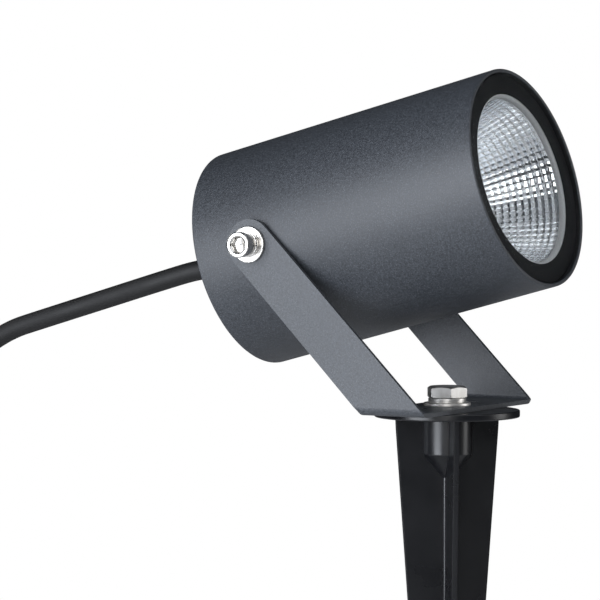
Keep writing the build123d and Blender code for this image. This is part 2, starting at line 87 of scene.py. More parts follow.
# ------------------------------------------------------------------ mesh helpers
def made(name, mesh_points, faces):
    """New object from points and faces, in metres."""
    mesh = bpy.data.meshes.new(name)
    mesh.from_pydata([tuple(point) for point in mesh_points], [], faces)
    mesh.validate()
    obj = bpy.data.objects.new(name, mesh)
    scene.collection.objects.link(obj)
    return obj


def facing(origin, direction):
    """Matrix whose X runs along direction from origin, both in millimetres."""
    way = Vector(direction)
    up = "Y" if abs(way.normalized().z) > 0.9 else "Z"
    turn = way.to_track_quat("X", up).to_matrix().to_4x4()
    return Matrix.Translation(Vector(origin) * MM) @ turn


def value_at(value, angle):
    """A number, or what a rule gives at an angle."""
    return value(angle) if callable(value) else value


def band_faces(rows, sides, first=0, wrap=False):
    """Faces between rows of points that each close into a ring."""
    faces = []
    for row in range(rows if wrap else rows - 1):
        below = first + row * sides
        above = first + (row + 1) % rows * sides
        for side in range(sides):
            after = (side + 1) % sides
            faces.append((below + side, below + after, above + after, above + side))
    return faces


def end_faces(rows, sides):
    """The two faces that close the first and the last row."""
    return [tuple(reversed(range(sides))), tuple(range((rows - 1) * sides, rows * sides))]


def turned(name, outline, place, sides=96, closed=True):
    """Skin of an outline of (x, radius) swung round X. Either may be a rule of the angle."""
    points = []
    for x, radius in outline:
        for side in range(sides):
            angle = 2 * pi * side / sides
            away = value_at(radius, angle)
            spot = Vector((value_at(x, angle), away * cos(angle), away * sin(angle)))
            points.append(place @ (spot * MM))
    faces = band_faces(len(outline), sides, wrap=closed)
    if not closed:
        faces += end_faces(len(outline), sides)
    return made(name, points, faces)


def softened(outline, radius, steps=3, closed=True):
    """Outline with its corners rounded off."""
    result = []
    count = len(outline)
    for number, corner in enumerate(outline):
        if not closed and number in (0, count - 1):
            result.append(corner)
            continue
        here = Vector(corner)
        before = Vector(outline[number - 1]) - here
        after = Vector(outline[(number + 1) % count]) - here
        cut = min(radius, before.length * 0.45, after.length * 0.45)
        start = here + before.normalized() * cut
        end = here + after.normalized() * cut
        for step in range(steps + 1):
            share = step / steps
            spot = start * (1 - share) ** 2 + here * 2 * share * (1 - share) + end * share**2
            result.append((spot.x, spot.y))
    return result


def hexagonal(flats, turn=0.0):
    """Rule that gives a hexagon's radius at an angle."""
    def radius(angle):
        away = (angle - turn + pi / 6) % (pi / 3) - pi / 6
        return flats / 2 / cos(away)
    return radius


def prism(name, outline, thickness, place):
    """Flat outline of (x, y) points in its place, thickened along Z, centred."""
    half = thickness / 2
    points = [place @ (Vector((x, y, z)) * MM) for z in (-half, half) for x, y in outline]
    count = len(outline)
    return made(name, points, end_faces(2, count) + band_faces(2, count))


def combined(obj, other, operation):
    """obj joined with, cut by or cut to another object, which is used up."""
    tool = obj.modifiers.new("combine", "BOOLEAN")
    tool.operation = operation
    tool.solver = "EXACT"
    tool.object = other
    applied(obj)
    bpy.data.meshes.remove(other.data)
    return obj


def applied(obj):
    """obj with its modifiers made part of its mesh."""
    bpy.context.view_layer.update()
    graph = bpy.context.evaluated_depsgraph_get()
    mesh = bpy.data.meshes.new_from_object(obj.evaluated_get(graph))
    obj.modifiers.clear()
    old = obj.data
    obj.data = mesh
    bpy.data.meshes.remove(old)
    return obj


def joined(name, *parts):
    """One object out of several, which are used up."""
    whole = bmesh.new()
    for part in parts:
        whole.from_mesh(part.data)
        bpy.data.meshes.remove(part.data)
    mesh = bpy.data.meshes.new(name)
    whole.to_mesh(mesh)
    whole.free()
    obj = bpy.data.objects.new(name, mesh)
    scene.collection.objects.link(obj)
    return obj


def eased(obj, width, steps=2, angle=28.0):
    """obj with its sharp edges rounded by so many millimetres."""
    bevel = obj.modifiers.new("edges", "BEVEL")
    bevel.width = width * MM
    bevel.segments = steps
    bevel.limit_method = "ANGLE"
    bevel.angle_limit = radians(angle)
    bevel.use_clamp_overlap = True
    return applied(obj)


def placed(obj, material, body, finish_slot, *nodes, smooth=32.0):
    """Finished piece: outward faces, shading, material, body and the nodes it stands for."""
    shell = bmesh.new()
    shell.from_mesh(obj.data)
    bmesh.ops.recalc_face_normals(shell, faces=shell.faces)
    shell.to_mesh(obj.data)
    shell.free()
    obj.data.polygons.foreach_set("use_smooth", [True] * len(obj.data.polygons))
    obj.data.set_sharp_from_angle(angle=radians(smooth))
    weigh = obj.modifiers.new("normals", "WEIGHTED_NORMAL")
    weigh.keep_sharp = True
    obj.data.materials.clear()
    obj.data.materials.append(material)
    if nodes:
        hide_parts(*nodes)
    if body:
        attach(obj, body)
    return obj


# ------------------------------------------------------------------ material helpers
class Look:
    """A material's nodes, with its one Principled shader."""

    def __init__(self, name, colour, roughness, metallic=0.0):
        self.material = bpy.data.materials.new(name)
        self.material.use_nodes = True
        self.nodes = self.material.node_tree.nodes
        self.links = self.material.node_tree.links
        self.shader = self.nodes["Principled BSDF"]
        self.shader.inputs["Base Color"].default_value = (*colour, 1.0)
        self.shader.inputs["Roughness"].default_value = roughness
        self.shader.inputs["Metallic"].default_value = metallic
        coordinates = self.nodes.new("ShaderNodeTexCoord")
        self.place = coordinates.outputs["Object"]

    def noise(self, scale, detail=2.0, rough=0.5, stretch=None, place=None):
        """Noise in the piece's own space; scale is in grains a metre."""
        node = self.nodes.new("ShaderNodeTexNoise")
        node.inputs["Scale"].default_value = scale
        node.inputs["Detail"].default_value = detail
        node.inputs["Roughness"].default_value = rough
        source = place or self.place
        if stretch:
            mapping = self.nodes.new("ShaderNodeMapping")
            mapping.inputs["Scale"].default_value = stretch
            self.links.new(source, mapping.inputs["Vector"])
            source = mapping.outputs["Vector"]
        self.links.new(source, node.inputs["Vector"])
        return node.outputs["Fac"]

    def cells(self, scale):
        """Distance to the nearest of evenly scattered spots."""
        node = self.nodes.new("ShaderNodeTexVoronoi")
        node.inputs["Scale"].default_value = scale
        self.links.new(self.place, node.inputs["Vector"])
        return node.outputs["Distance"]

    def around(self, centre, axis):
        """Distance from an axis through centre, for marks left by turning."""
        move = self.nodes.new("ShaderNodeVectorMath")
        move.operation = "SUBTRACT"
        self.links.new(self.place, move.inputs[0])
        move.inputs[1].default_value = centre
        flat = self.nodes.new("ShaderNodeVectorMath")
        flat.operation = "MULTIPLY"
        self.links.new(move.outputs[0], flat.inputs[0])
        flat.inputs[1].default_value = [0.0 if part else 1.0 for part in axis]
        away = self.nodes.new("ShaderNodeVectorMath")
        away.operation = "LENGTH"
        self.links.new(flat.outputs[0], away.inputs[0])
        return away.outputs["Value"]

    def ranged(self, source, low, high, start=0.0, end=1.0):
        """source's span from start to end stretched over low to high."""
        node = self.nodes.new("ShaderNodeMapRange")
        node.inputs["From Min"].default_value = start
        node.inputs["From Max"].default_value = end
        node.inputs["To Min"].default_value = low
        node.inputs["To Max"].default_value = high
        self.links.new(source, node.inputs["Value"])
        return node.outputs["Result"]

    def blended(self, share, first, second):
        """Colour that goes from first to second with share; either may be an output."""
        node = self.nodes.new("ShaderNodeMix")
        node.data_type = "RGBA"
        self.links.new(share, node.inputs["Factor"])
        for socket, colour in ((6, first), (7, second)):
            if isinstance(colour, tuple):
                node.inputs[socket].default_value = (*colour, 1.0)
            else:
                self.links.new(colour, node.inputs[socket])
        return node.outputs[2]

    def feed(self, socket, source):
        self.links.new(source, self.shader.inputs[socket])

    def bump(self, source, height, strength=1.0, under=None):
        """Relief of so many millimetres over what source gives."""
        node = self.nodes.new("ShaderNodeBump")
        node.inputs["Strength"].default_value = strength
        node.inputs["Distance"].default_value = height * MM
        self.links.new(source, node.inputs["Height"])
        if under:
            self.links.new(under, node.inputs["Normal"])
        self.links.new(node.outputs["Normal"], self.shader.inputs["Normal"])
        return node.outputs["Normal"]


def powder_coat(name, dark, light, fleck):
    """Fine textured polyester powder coat with a faint metallic fleck."""
    look = Look(name, light, 0.45)
    grain = look.noise(1500.0, 4.0, 0.7)
    drift = look.noise(28.0, 3.0)
    base = look.blended(look.ranged(grain, 0.0, 1.0, 0.36, 0.66), dark, light)
    shade = look.blended(look.ranged(drift, 0.0, 0.22, 0.4, 0.7), base, dark)
    flecks = look.ranged(look.cells(1900.0), 0.7, 0.0, 0.0, 0.3)
    look.feed("Base Color", look.blended(flecks, shade, fleck))
    look.feed("Roughness", look.ranged(grain, 0.44, 0.60, 0.3, 0.7))
    pebbles = look.noise(1700.0, 3.0, 0.6)
    look.bump(pebbles, 0.08, 0.6)
    look.shader.inputs["Specular IOR Level"].default_value = 0.55
    return look.material


def moulded(name, dark, light, rough, grain=1800.0, relief=0.02, gloss=0.5):
    """Moulded plastic or rubber with a fine tool texture and slow flow marks."""
    look = Look(name, dark, rough)
    flow = look.noise(45.0, 4.0, 0.55)
    fine = look.noise(grain, 3.0, 0.6)
    look.feed("Base Color", look.blended(look.ranged(flow, 0.0, 1.0, 0.35, 0.7), dark, light))
    look.feed("Roughness", look.ranged(flow, rough * 0.86, rough * 1.16, 0.3, 0.7))
    look.bump(fine, relief, 0.5)
    look.shader.inputs["Specular IOR Level"].default_value = gloss
    return look.material


def machined(name, colour, dull, centre=None, axis=(0, 0, 1), rough=0.2):
    """Turned or rolled metal: fine rings about its axis, and faint blotches."""
    look = Look(name, colour, rough, metallic=1.0)
    blotch = look.noise(160.0, 4.0, 0.6)
    look.feed("Base Color", look.blended(look.ranged(blotch, 0.0, 1.0, 0.35, 0.75), colour, dull))
    if centre is None:
        lines = look.noise(700.0, 3.0, 0.6, stretch=(1.0, 1.0, 7.0))
    else:
        away = look.around(centre, axis)
        lines = look.noise(2200.0, 2.0, 0.5, place=away)
    look.feed("Roughness", look.ranged(lines, rough * 0.85, rough * 1.25, 0.3, 0.7))
    return look.material


# ------------------------------------------------------------------ supply cord
cord_diameter = 0.0070
coil_centre = Vector((-0.260, -0.038, 0.0))
lane_middle = 0.038
lane_step = 0.0074
ground_height = 0.0049
points_per_turn = 16
coil_turns = 3.5
lane_change = 100 / 360  # the part of a turn in which the cord moves over to the next lane
lane_changes = (0.722, 1.611, 2.5)  # the turns at which it starts to
outer_lane = lane_middle + lane_step / 2


def eased_step(value):
    share = min(max(value, 0.0), 1.0)
    return share * share * (3 - 2 * share)


def coil_spot(turn):
    """A point of the coil so many turns in: outer low, inner low, inner high, outer high."""
    moves = [eased_step((turn - start) / lane_change) for start in lane_changes]
    away = outer_lane - lane_step * moves[0] + lane_step * moves[2]
    height = ground_height + lane_step * moves[1]
    angle = pi / 2 + 2 * pi * turn
    # A spline of order 3 runs inside its control points by this share.
    away /= (3 + cos(2 * pi / points_per_turn)) / 4
    return coil_centre + Vector((away * cos(angle), away * sin(angle), height))


def head_point(x, y=0.0, z=0.0):
    """A point given in millimetres in the lamp head's own frame."""
    return head @ Vector((x * MM, y * MM, z * MM))


route = [
    head_point(-32.0),
    head_point(-38.5),
    Vector((-0.0990, 0.0000, 0.0478)),
    Vector((-0.1150, 0.0000, 0.0433)),
    Vector((-0.1398, 0.0000, 0.0361)),
    Vector((-0.1640, 0.0000, 0.0291)),
    Vector((-0.1810, 0.0000, 0.0241)),
    Vector((-0.1990, 0.0005, 0.0122)),
    Vector((-0.2160, 0.0018, 0.0049)),
    Vector((-0.2370, 0.0036, 0.0049)),
]
for number in range(int(coil_turns * points_per_turn) + 1):
    route.append(coil_spot(number / points_per_turn))
route += [
    Vector((-0.2440, -0.0795, 0.0119)),
    Vector((-0.2340, -0.0788, 0.0100)),
    Vector((-0.2240, -0.0778, 0.0072)),
    Vector((-0.2170, -0.0768, 0.0054)),
]


def spline_line(points, fineness):
    """Points along one smooth NURBS spline with these control points."""
    curve = bpy.data.curves.new("line", "CURVE")
    curve.dimensions = "3D"
    spline = curve.splines.new("NURBS")
    spline.points.add(len(points) - 1)
    for spot, point in zip(spline.points, points):
        spot.co = (*point, 1.0)
    spline.order_u = 3
    spline.use_endpoint_u = True
    spline.resolution_u = fineness
    carrier = bpy.data.objects.new("line", curve)
    mesh = bpy.data.meshes.new_from_object(carrier)
    line = [vertex.co.copy() for vertex in mesh.vertices]
    bpy.data.meshes.remove(mesh)
    bpy.data.objects.remove(carrier)
    bpy.data.curves.remove(curve)
    return line


def tube(name, line, radius, sides=20):
    """Round tube along a line of points, with closed ends."""
    tangents = []
    for number in range(len(line)):
        before = line[max(number - 1, 0)]
        after = line[min(number + 1, len(line) - 1)]
        tangents.append((after - before).normalized())
    side = tangents[0].orthogonal().normalized()
    points = []
    for spot, way in zip(line, tangents):
        side = (side - way * side.dot(way)).normalized()
        other = way.cross(side)
        for step in range(sides):
            angle = 2 * pi * step / sides
            points.append(spot + (side * cos(angle) + other * sin(angle)) * radius)
    return made(name, points, band_faces(len(line), sides) + end_faces(len(line), sides))


cord_rubber = moulded(
    "cord_rubber", (0.0045, 0.0045, 0.0047), (0.0075, 0.0075, 0.0078), 0.6, 1500.0, 0.03, 0.36
)
cord_line = spline_line(route, 8)
cord = tube("supply_cord", cord_line, cord_diameter / 2, 24)
placed(cord, cord_rubber, None, "cord_rubber", "cord_lead", "cord_run", "cord_coil", smooth=50.0)
cord.modifiers.clear()
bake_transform(cord)

# cores at the bare end, each with its stripped copper
core_colours = {
    "core_live": (0.12, 0.045, 0.018),
    "core_neutral": (0.02, 0.075, 0.26),
    "core_earth": (0.28, 0.33, 0.03),
}
copper = machined("core_copper", (0.78, 0.36, 0.19), (0.55, 0.22, 0.11), rough=0.3)
cord_end = cord_line[-1]
cord_pieces = []
core_radius = 0.0011
core_offset = 0.0014
core_fan = 0.0032
core_rest_height = 0.0035
copper_radius = 0.00065
copper_step = 0.0013
for number, (core_name, colour) in enumerate(core_colours.items()):
    angle = pi / 2 + 2 * pi * number / 3
    fan = core_fan * (number - 1)
    start = cord_end + Vector((-0.004, cos(angle) * core_offset, sin(angle) * core_offset))
    rise = max(0.0, start.z - core_rest_height)
    core_route = [
        start,
        start + Vector((0.0060, 0.0, -rise * 0.1)),
        start + Vector((0.0110, fan * 0.5, -rise * 0.6)),
        start + Vector((0.0160, fan * 0.9, -rise * 0.95)),
        start + Vector((0.0225, fan * 1.2, -rise)),
    ]
    core_line = spline_line(core_route, 6)
    core = tube(core_name, core_line, core_radius, 14)
    skin = moulded(core_name, colour, tuple(part * 1.25 for part in colour), 0.38, 2200.0, 0.01)
    stands_for = ["cord_cores"] if number == 0 else []
    placed(core, skin, "bracket", "core_insulation", *stands_for, smooth=50.0)
    way = (core_line[-1] - core_line[-2]).normalized()
    bare_line = [core_line[-1] + way * (0.0001 + copper_step * step) for step in range(5)]
    bare = tube(core_name + "_copper", bare_line, copper_radius, 12)
    placed(bare, copper, "bracket", "core_insulation", smooth=50.0)
    cord_pieces += [core, bare]

# strap round the coil
strap_angle = radians(206.8)
strap_width = 9.0
strap_rows = 5


def strap_loop(reach, corner):
    """Square round the coil's bundle with rounded corners."""
    return softened([(-reach, -reach), (reach, -reach), (reach, reach), (-reach, reach)], corner, 8)


def strap(name, reach, thickness):
    """Strap round the coil's bundle, bent along with the coil."""
    outer = strap_loop(reach, 5.4)
    inner = strap_loop(reach - thickness, 5.0)
    middle = ground_height + lane_step / 2
    points = []
    half = strap_width / 2 * MM
    for loop in (outer, inner):
        for step in range(strap_rows):
            along = -half + 2 * half * step / (strap_rows - 1)
            for away, height in loop:
                angle = strap_angle + along / lane_middle
                radius = lane_middle + away * MM
                spot = Vector((radius * cos(angle), radius * sin(angle), middle + height * MM))
                points.append(coil_centre + spot)
    count = len(outer)
    skin = strap_rows * count
    faces = band_faces(strap_rows, count) + band_faces(strap_rows, count, first=skin)
    for row in (0, (strap_rows - 1) * count):
        for number in range(count):
            here = row + number
            after = row + (number + 1) % count
            faces.append((here, after, skin + after, skin + here))
    return made(name, points, faces)


tie_plastic = moulded("tie_plastic", (0.014, 0.014, 0.015), (0.03, 0.03, 0.031), 0.42, 900.0, 0.05)
tie = eased(strap("coil_tie", 8.25, 1.0), 0.25, 2, 40.0)
placed(tie, tie_plastic, "bracket", "tie_plastic", "cord_tie")
cord_pieces.append(tie)


# ------------------------------------------------------------------ finishes
dark_coat = powder_coat(
    "powder_coat", (0.014, 0.016, 0.020), (0.040, 0.046, 0.055), (0.15, 0.16, 0.175)
)
# The bracket has the housing's powder coat, painted lighter: painted light, standing in for the light
# falling on the bracket's faces.
arm_paint_lightened = powder_coat(
    "bracket_paint_lightened", (0.018, 0.021, 0.025), (0.060, 0.066, 0.076), (0.16, 0.17, 0.185)
)
stake_plastic = moulded(
    "stake_plastic", (0.003, 0.0033, 0.0045), (0.005, 0.0055, 0.007), 0.30, 900.0, 0.015, 0.42
)
gland_plastic = moulded("gland_plastic", (0.013, 0.013, 0.014), (0.022, 0.022, 0.023), 0.42)
seal_rubber = moulded("seal_rubber", (0.02, 0.02, 0.021), (0.032, 0.032, 0.033), 0.65)
white_plastic = moulded("white_plastic", (0.72, 0.72, 0.70), (0.8, 0.8, 0.78), 0.4)
fibre = moulded("washer_fibre", (0.055, 0.055, 0.06), (0.09, 0.09, 0.095), 0.7)
driver_case = moulded("driver_case", (0.55, 0.55, 0.54), (0.63, 0.63, 0.62), 0.45)
pad_rubber = moulded("thermal_rubber", (0.25, 0.27, 0.3), (0.32, 0.34, 0.37), 0.75)
lead_skin = moulded("lead_insulation", (0.3, 0.03, 0.03), (0.38, 0.045, 0.045), 0.45)
bolt_steel = machined("bolt_steel", (0.74, 0.73, 0.71), (0.55, 0.53, 0.50), (0, 0, 0), (0, 0, 1), 0.38)
screw_steel = machined(
    "screw_steel", (0.66, 0.65, 0.63), (0.52, 0.50, 0.47), tuple(pivot), (0, 1, 0), 0.2
)
plain_steel = machined("plain_steel", (0.72, 0.71, 0.69), (0.56, 0.54, 0.51), rough=0.25)
brass = machined("insert_brass", (0.72, 0.53, 0.26), (0.55, 0.38, 0.17), rough=0.28)

# Black print of the glass border; the pane's edge also gets this black, as painted shade.
print_and_painted_shade = moulded("black_print", (0.0045, 0.0045, 0.005), (0.0065, 0.0065, 0.007), 0.4, 2500.0, 0.004)

silver = Look("reflector_silver", (0.90, 0.92, 0.95), 0.18, metallic=1.0)
haze = silver.noise(140.0, 3.0, 0.6)
silver.feed("Roughness", silver.ranged(haze, 0.05, 0.09, 0.3, 0.7))
silver.feed(
    "Base Color",
    silver.blended(silver.ranged(haze, 0.0, 1.0, 0.3, 0.7), (0.93, 0.945, 0.965), (0.84, 0.86, 0.89)),
)
silver.bump(silver.noise(1800.0, 2.0), 0.004, 0.2)

frosted = Look("reflector_lip", (0.86, 0.89, 0.92), 0.5, metallic=0.0)
satin = frosted.noise(900.0, 3.0, 0.6)
frosted.feed("Roughness", frosted.ranged(satin, 0.42, 0.55, 0.3, 0.7))
frosted.feed(
    "Base Color",
    frosted.blended(frosted.ranged(satin, 0.0, 1.0, 0.3, 0.7), (0.94, 0.955, 0.97), (0.90, 0.915, 0.935)),
)


def clear_glass():
    """Tempered glass, faintly green."""
    look = Look("tempered_glass", (0.985, 0.995, 0.99), 0.0)
    look.shader.inputs["Transmission Weight"].default_value = 1.0
    look.shader.inputs["IOR"].default_value = 1.5
    look.shader.inputs["Roughness"].default_value = 0.0
    return look.material


glass = clear_glass()

phosphor = Look("led_phosphor", (0.85, 0.55, 0.06), 0.45)
speckle = phosphor.noise(3500.0, 2.0)
phosphor.feed(
    "Base Color",
    phosphor.blended(phosphor.ranged(speckle, 0.0, 1.0, 0.35, 0.65), (0.9, 0.62, 0.07), (0.75, 0.42, 0.04)),
)
phosphor.bump(speckle, 0.02, 0.4)


def dressed(node, material):
    """Gives a carried-over CAD node its finish."""
    carrier = frame["nodes"][node]
    carrier.data.materials.clear()
    carrier.data.materials.append(material)


for node, material in {
    "front_gasket": seal_rubber,
    "rear_gasket": seal_rubber,
    "gland_seal": seal_rubber,
    "led_holder": white_plastic,
    "holder_screws": plain_steel,
    "thermal_pad": pad_rubber,
    "driver": driver_case,
    "driver_pad": pad_rubber,
    "led_leads": lead_skin,
    "supply_leads": lead_skin,
    "gland_locknut": gland_plastic,
    "glass_border": print_and_painted_shade,
    "pivot_friction_washers": fibre,
    "threaded_insert": brass,
    "led_cob": phosphor.material,
}.items():
    dressed(node, material)


# ------------------------------------------------------------------ lamp head
housing_radius = 37.5
rear_rim = -23.0
front_rim = 87.0
bore_radius = 36.2
chamber_radius = 35.0
ledge_radius = 33.7
ledge_front = 81.2
ledge_back = 78.2
partition_front = 34.2
partition_back = 28.2
wire_hole_radius = 2.0
cover_ledge_front = -12.8
cover_ledge_back = -16.8

shell_outline = softened(
    [
        (rear_rim, bore_radius),
        (rear_rim, housing_radius),
        (front_rim, housing_radius),
        (front_rim, bore_radius),
        (ledge_front, bore_radius),
        (ledge_front, ledge_radius),
        (ledge_back, ledge_radius),
        (ledge_back, chamber_radius),
        (partition_front, chamber_radius),
        (partition_front, wire_hole_radius),
        (partition_back, wire_hole_radius),
        (partition_back, chamber_radius),
        (cover_ledge_front, chamber_radius),
        (cover_ledge_front, ledge_radius),
        (cover_ledge_back, ledge_radius),
        (cover_ledge_back, bore_radius),
    ],
    0.55,
    4,
)
shell = turned("housing_shell", shell_outline, head, 192)
pads = []
pad_inside, pad_face, pad_radius = 36.5, 37.9, 7.0
pad_outline = [(pad_inside, 0.01), (pad_face, 0.01), (pad_face, pad_radius), (pad_inside, pad_radius)]
for side in (-1, 1):
    pads.append(
        turned(
            "pad",
            softened(pad_outline, 0.12, 2),
            head @ facing((0, 0, 0), (0, side, 0)),
            64,
        )
    )
placed(joined("housing_shell", shell, *pads), dark_coat, "head", "powder_coat", "housing")

pane_back, pane_front, pane_radius = 82.63, 86.6, 36.0
pane_outline = [(pane_back, 0.01), (pane_back, pane_radius), (pane_front, pane_radius), (pane_front, 0.01)]
pane = turned("front_pane", softened(pane_outline, 0.12, 2), head, 144)
placed(pane, glass, "head", "tempered_glass", "front_glass")
# The black print also goes on the pane's edge faces: painted shade, standing in for the shaded bore wall
# seen through the glass.
pane.data.materials.append(print_and_painted_shade)
lamp_axis = (head.to_3x3() @ Vector((1, 0, 0))).normalized()
for face in pane.data.polygons:
    if abs(face.normal.dot(lamp_axis)) < 0.3:
        face.material_index = 1

# reflector: rings of small pillowed facets in a paraboloid, then a smooth frosted lip that flares
reflector_back = 37.6
reflector_front = 82.3
neck_radius = 9.0
mouth_radius = 28.6
lip_radius = 29.3
facet_rings = 20
facet_sides = 80
facet_steps = 4
ring_bulge = 0.12
side_bulge = 0.09
lip_depth = 1.8
lip_steps = 6
reflector_wall = 1.3
rim_back, rim_front, rim_radius = 81.25, 82.35, 33.0


def bowl_radius(x):
    share = (x - reflector_back) / (reflector_front - reflector_back)
    return sqrt(neck_radius**2 * (1 - share) + mouth_radius**2 * share)


def facet_bowl():
    """The faceted inside of the reflector, its rings evenly spaced along the wall."""
    last = reflector_front - lip_depth
    depth = reflector_front - reflector_back
    curve = (mouth_radius**2 - neck_radius**2) / depth
    fine = 400
    wall = [reflector_back + (last - reflector_back) * step / fine for step in range(fine + 1)]
    along_wall = [0.0]
    for before, after in zip(wall, wall[1:]):
        rise = bowl_radius(after) - bowl_radius(before)
        along_wall.append(along_wall[-1] + sqrt((after - before) ** 2 + rise**2))
    rows = facet_rings * facet_steps
    sides = facet_sides * facet_steps
    points = []
    spot_at = 0
    for row in range(rows + 1):
        wanted = along_wall[-1] * row / rows
        while spot_at < fine - 1 and along_wall[spot_at + 1] < wanted:
            spot_at += 1
        step_length = along_wall[spot_at + 1] - along_wall[spot_at]
        share = (wanted - along_wall[spot_at]) / step_length
        x = wall[spot_at] + (wall[spot_at + 1] - wall[spot_at]) * share
        radius = bowl_radius(x)
        inward = Vector((curve / 2 / radius, -1.0)).normalized()
        across = 2 * (row % facet_steps) / facet_steps - 1
        for side in range(sides):
            along = 2 * (side % facet_steps) / facet_steps - 1
            width = radius / mouth_radius
            rise = ring_bulge * (1 - across**2) + side_bulge * width * (1 - along**2)
            angle = 2 * pi * side / sides
            away = radius + inward.y * rise
            spot = Vector((x + inward.x * rise, away * cos(angle), away * sin(angle)))
            points.append(head @ (spot * MM))
    return made("reflector_facets", points, band_faces(rows + 1, sides))


# The facets are one open skin, so placed(), which turns faces outward, isn't for them.
facets = facet_bowl()
facets.data.polygons.foreach_set("use_smooth", [True] * len(facets.data.polygons))
facets.data.set_sharp_from_angle(angle=radians(14.0))
facets.data.materials.append(silver.material)
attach(facets, "head")

lip_start = reflector_front - lip_depth
lip_rise = lip_radius - bowl_radius(lip_start)
lip_inner = [
    (
        lip_start + lip_depth * sin(pi / 2 * step / lip_steps),
        lip_radius - lip_rise * cos(pi / 2 * step / lip_steps),
    )
    for step in range(lip_steps + 1)
]
lip_outline = [
    *lip_inner,
    (rim_front, lip_radius + 0.3),
    (rim_front, rim_radius),
    (rim_back, rim_radius),
    (rim_back, lip_radius + 1.2),
    (lip_start, bowl_radius(lip_start) + reflector_wall),
]
lip = turned("reflector_lip", lip_outline, head, 176)
placed(lip, frosted.material, "head", "reflector_silver", "reflector", smooth=40.0)

# rear cover, its screws and the cable gland
cover_back, cover_front, cover_radius, cover_hole = -22.0, -18.0, 36.0, 6.1
cover_outline = [
    (cover_back, cover_hole),
    (cover_back, cover_radius),
    (cover_front, cover_radius),
    (cover_front, cover_hole),
]
cover = turned("rear_cover_plate", softened(cover_outline, 0.4, 3), head, 144)
screw_circle = 30.4
recess_floor = -20.8
recess_radius = 2.95
recess_outline = [
    (cover_back - 1, 0.0),
    (cover_back - 1, recess_radius),
    (recess_floor, recess_radius),
    (recess_floor, 0.0),
]
cover_shank = 1.5
cover_screw_head = 1.8
cover_drive = hexagonal(2.4)
cover_screw_outline = [
    (-11.0, 0.01),
    (-11.0, cover_shank - 0.2),
    (-10.6, cover_shank),
    (0.0, cover_shank),
    (0.0, 2.55),
    (0.15, 2.7),
    (1.0, 2.68),
    (1.45, 2.45),
    (1.7, 2.05),
    (cover_screw_head, 1.55),
    (cover_screw_head, 1.5),
    (lambda angle: cover_screw_head - (1.5 - cover_drive(angle)), cover_drive),
    (0.8, cover_drive),
    (0.7, 0.01),
]
cover_screws = []
for number in range(4):
    angle = pi / 4 + number * pi / 2
    beside = Vector((0, screw_circle * cos(angle), screw_circle * sin(angle)))
    spot = head @ Matrix.Translation(beside * MM)
    combined(cover, turned("bore", recess_outline, spot, 48, closed=False), "DIFFERENCE")
    place = spot @ facing((recess_floor, 0, 0), (-1, 0, 0))
    cover_screws.append(turned("screw", cover_screw_outline, place, 48))
cover = eased(cover, 0.12, 2, 40.0)
placed(cover, dark_coat, "head", "powder_coat", "rear_cover")
placed(joined("cover_screws", *cover_screws), plain_steel, "head", "stainless", "rear_cover_screws")

gland_start = cover_back
collar_flats = 15.0
collar_hex = hexagonal(collar_flats)


def collar_chamfer(angle):
    """Height of the collar's outer edge, which its chamfer cuts back at the corners."""
    return gland_start - 2.95 + 0.25 * (collar_hex(angle) - collar_flats / 2)


collar = turned(
    "gland_collar",
    [
        (-11.0, 3.4),
        (-11.0, 5.6),
        (-11.3, 6.0),
        (-21.9, 6.0),
        (gland_start, 7.0),
        (gland_start, collar_hex),
        (gland_start - 2.6, collar_hex),
        (collar_chamfer, lambda angle: collar_hex(angle) - 0.3),
        (gland_start - 3.0, 7.0),
        (gland_start - 3.0, 3.4),
    ],
    head,
    96,
)
placed(collar, gland_plastic, "head", "gland_plastic", "gland_body")


grip_corner = 8.35
grip_ribs = 24
rib_depth = 0.18


def grip_radius(angle):
    """Dome nut's ribbed grip."""
    return min(collar_hex(angle), grip_corner) - rib_depth * (0.5 + 0.5 * cos(grip_ribs * angle))


dome = turned(
    "gland_dome",
    [
        (-25.0, 5.85),
        (-25.0, 7.35),
        (-25.15, lambda angle: grip_radius(angle) - 0.2),
        (-25.5, grip_radius),
        (-30.6, grip_radius),
        (-31.0, lambda angle: grip_radius(angle) - 0.35),
        (-31.05, 7.35),
        (-33.0, 7.3),
        (-34.6, 7.05),
        (-35.8, 6.5),
        (-36.7, 5.75),
        (-37.3, 4.95),
        (-37.5, 4.4),
        (-37.42, 3.7),
        (-37.1, 3.4),
        (-33.0, 3.35),
        (-33.0, 5.85),
    ],
    head,
    192,
)
placed(dome, gland_plastic, "head", "gland_plastic", "gland_dome_nut")


# ------------------------------------------------------------------ fasteners
def helical_washer(name, place, inner, outer, thickness, gap, lift, sides=72):
    """Split spring washer, one end a little proud of the other."""
    section = softened(
        [(0.0, inner), (thickness, inner), (thickness, outer), (0.0, outer)], 0.22, 2
    )
    end_slant = 0.616  # how far the cut ends lean along the ring, in millimetres at each face
    points = []
    start = gap / (inner + outer)
    for step in range(sides + 1):
        share = step / sides
        angle = start + (2 * pi - 2 * start) * share
        for x, radius in section:
            lean = end_slant * (x / thickness - 0.5) / radius
            spot = Vector(
                (x + lift * (share - 0.5), radius * cos(angle + lean), radius * sin(angle + lean))
            )
            points.append(place @ (spot * MM))
    count = len(section)
    return made(name, points, band_faces(sides + 1, count) + end_faces(sides + 1, count))


def flat_washer(name, place, inner, outer, thickness):
    """Stamped washer: one edge rolled over, the other sharp."""
    outline = [
        (0.0, inner + 0.15),
        (0.12, inner),
        (thickness - 0.12, inner),
        (thickness, inner + 0.15),
        (thickness, outer - 0.42),
        (thickness - 0.06, outer - 0.22),
        (thickness - 0.2, outer - 0.05),
        (thickness - 0.42, outer),
        (0.06, outer),
        (0.0, outer - 0.06),
    ]
    return turned(name, outline, place, 96)


